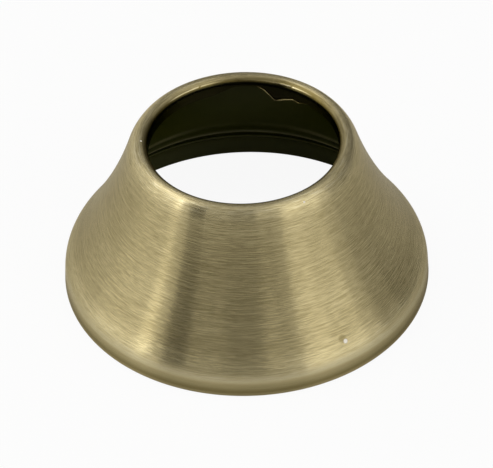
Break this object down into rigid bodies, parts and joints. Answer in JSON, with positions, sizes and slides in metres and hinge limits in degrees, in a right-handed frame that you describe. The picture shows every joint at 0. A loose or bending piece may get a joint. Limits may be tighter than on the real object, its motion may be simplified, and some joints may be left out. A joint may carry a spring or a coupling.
{
  "type": "bell flange",
  "caption": "Bell-shaped sheet-brass pipe flange with a flared wall and a folded lip, slid along a drain tube to cover the hole where it enters a wall.",
  "frame": {"origin": "centre of the wall edge, in the plane of that edge", "axes": "+Z along the tube's axis, away from the wall towards the lip"},
  "size_m": [0.0762, 0.0762, 0.0349],
  "materials": {
    "antique_brass": "darkened, then brushed round the axis and lacquered outside, left dark inside"
  },
  "bodies": {
    "root": {"bell_flange": "antique_brass"}
  },
  "joints": []
}
